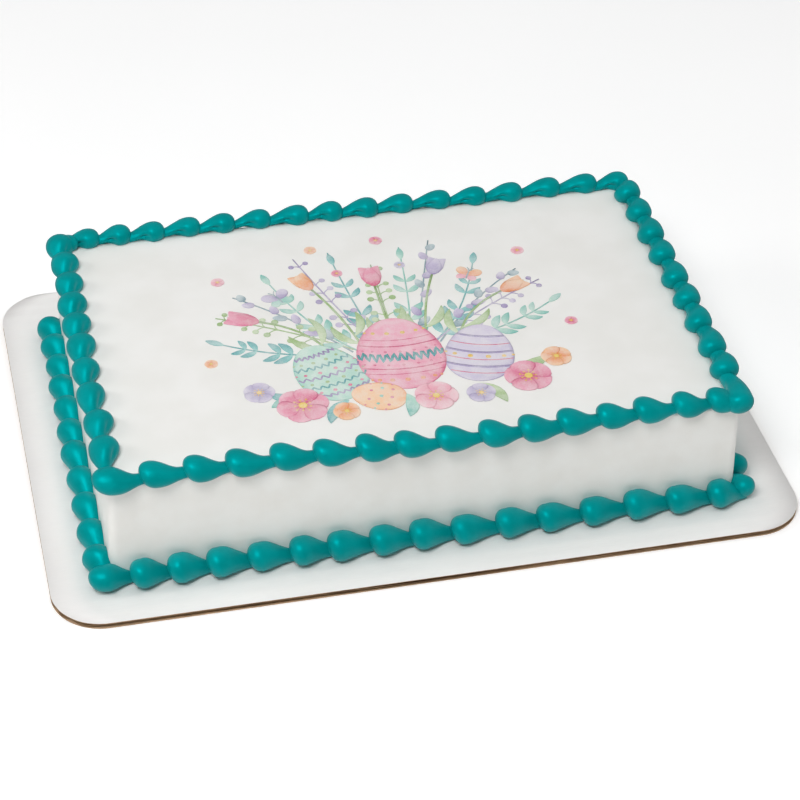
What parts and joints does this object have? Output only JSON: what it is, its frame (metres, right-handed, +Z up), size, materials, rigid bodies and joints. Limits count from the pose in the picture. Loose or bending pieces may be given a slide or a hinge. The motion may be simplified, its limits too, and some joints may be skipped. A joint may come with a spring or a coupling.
{
  "type": "iced sheet cake on a cake board",
  "caption": "Uncut rectangular sheet cake in smooth white icing with a printed icing top, teal piped borders at the top edge and the foot, on a round-cornered corrugated board.",
  "frame": {"origin": "middle of the underside of the cake board", "axes": "+X to the right along the long front side, +Y to the back, +Z up"},
  "size_m": [0.3556, 0.254, 0.0668],
  "materials": {
    "board": "white paper face over brown corrugated card",
    "white_icing": "smooth satin white buttercream",
    "printed_icing": "smooth sugar sheet with a soft watercolour print",
    "teal_icing": "satin teal buttercream"
  },
  "bodies": {
    "root": {"cake_board": "board", "iced_cake": "white_icing", "printed_icing_sheet": "printed_icing", "top_border_front": "teal_icing", "top_border_right": "teal_icing", "top_border_back": "teal_icing", "top_border_left": "teal_icing", "bottom_border_front": "teal_icing", "bottom_border_right": "teal_icing", "bottom_border_back": "teal_icing", "bottom_border_left": "teal_icing"}
  },
  "joints": []
}
